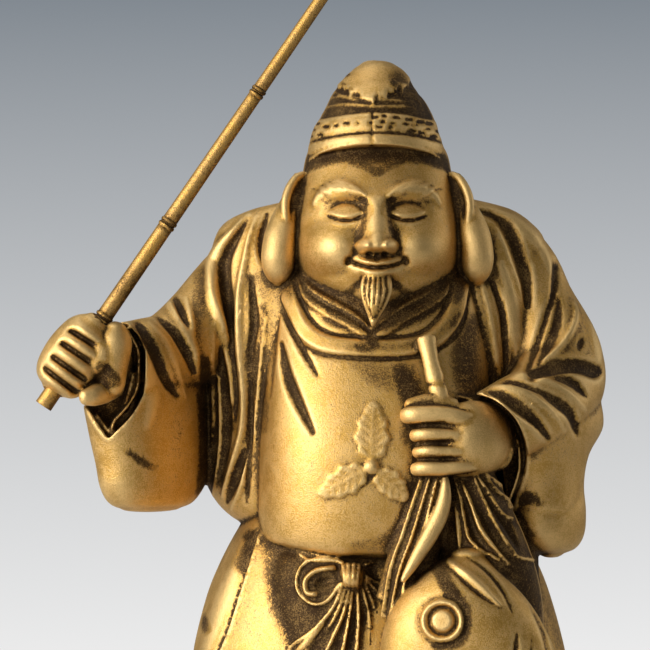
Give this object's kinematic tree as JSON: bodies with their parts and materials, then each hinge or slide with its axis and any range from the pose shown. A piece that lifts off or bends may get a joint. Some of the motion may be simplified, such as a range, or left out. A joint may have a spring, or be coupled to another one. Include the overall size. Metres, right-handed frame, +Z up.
{
  "type": "ebisu figure",
  "caption": "Cast bronze standing figure of a calm fisherman god with cap, full robe, sea bream and bamboo rod, on a low base.",
  "frame": {"origin": "centre of the flat underside of the oval base", "axes": "+Z up, the figure faces -Y, its right hand with the rod is on the -X side"},
  "size_m": [0.1411, 0.0966, 0.3351],
  "materials": {
    "bronze": "sand-blasted gold bronze with dark brown patina in the hollows",
    "rod_bronze": "gold bronze with brown patina, dark at the joints"
  },
  "bodies": {
    "root": {"figure": "bronze", "fishing_rod": "rod_bronze"}
  },
  "joints": []
}
